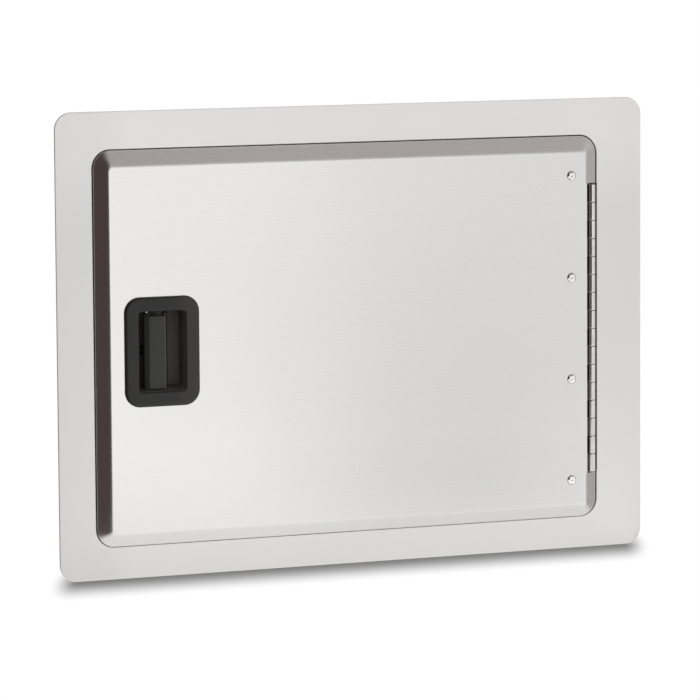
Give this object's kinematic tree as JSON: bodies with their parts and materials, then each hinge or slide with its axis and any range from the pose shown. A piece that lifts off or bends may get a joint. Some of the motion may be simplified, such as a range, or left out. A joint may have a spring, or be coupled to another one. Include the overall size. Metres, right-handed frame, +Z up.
{
  "type": "bbq island access door",
  "caption": "Stainless access door for an outdoor kitchen island: flat flange, raised bevelled door on a continuous hinge, flush black paddle latch.",
  "frame": {"origin": "centre of the flange outline, on the back plane of the flange that lies on the island wall", "axes": "+X to the right towards the hinge, +Y into the island, +Z up; the door face looks along -Y"},
  "size_m": [0.6604, 0.0733, 0.4826],
  "materials": {
    "frame_steel": "fine brushed stainless",
    "door_steel": "fine brushed stainless",
    "jamb_steel": "mill stainless",
    "stiffener_steel": "mill stainless",
    "hardware_steel": "satin stainless",
    "hinge_steel": "bright stainless",
    "pin_steel": "bright drawn steel",
    "rivet_steel": "bright stainless",
    "screw_steel": "zinc plated",
    "zinc_steel": "zinc plated",
    "bolt_steel": "zinc plated",
    "spring_steel": "bright spring wire",
    "latch_plastic": "fine textured black",
    "paddle_plastic": "fine textured black",
    "gasket_rubber": "black foam rubber",
    "bumper_rubber": "black rubber"
  },
  "bodies": {
    "frame": {"face_frame": "frame_steel", "jamb_top": "jamb_steel", "jamb_bottom": "jamb_steel", "jamb_latch_side": "jamb_steel", "jamb_hinge_side": "jamb_steel", "stop_bumpers": "bumper_rubber", "strike_plate": "hardware_steel", "strike_screws": "screw_steel", "hinge_frame_leaf": "hinge_steel", "hinge_pin": "pin_steel", "hinge_spacer": "hardware_steel", "jamb_rivets": "rivet_steel"},
    "door": {"door_skin": "door_steel", "door_stiffener_upper": "stiffener_steel", "door_stiffener_lower": "stiffener_steel", "hinge_door_leaf": "hinge_steel", "hinge_backing_strip": "hardware_steel", "door_rivets": "rivet_steel", "latch_housing": "latch_plastic", "latch_gasket": "gasket_rubber", "latch_clamp_upper": "zinc_steel", "latch_clamp_lower": "zinc_steel", "clamp_screws": "screw_steel", "bolt_cover": "zinc_steel", "cover_screws": "screw_steel", "paddle_pin": "pin_steel"},
    "paddle": {"latch_paddle": "paddle_plastic", "paddle_spring": "spring_steel"},
    "bolt": {"latch_bolt": "bolt_steel"}
  },
  "joints": [
    {"name": "door_swing", "type": "hinge", "parent": "frame", "child": "door", "pos_m": [0.2707, -0.00453, -0.0048], "axis": [0, 0, 1], "range_deg": [0, 155]},
    {"name": "paddle_pull", "type": "hinge", "parent": "door", "child": "paddle", "pos_m": [-0.2339, -0.0025, -0.0063], "axis": [0, 0, -1], "range_deg": [0, 24], "stiffness_Nm_per_rad": 0.25},
    {"name": "bolt_slide", "type": "slide", "parent": "door", "child": "bolt", "axis": [1, 0, 0], "range_m": [0, 0.01037]}
  ],
  "couplings": [
    {"joint": "paddle_pull", "follows": "bolt_slide", "rad_per_m": 40.386}
  ]
}
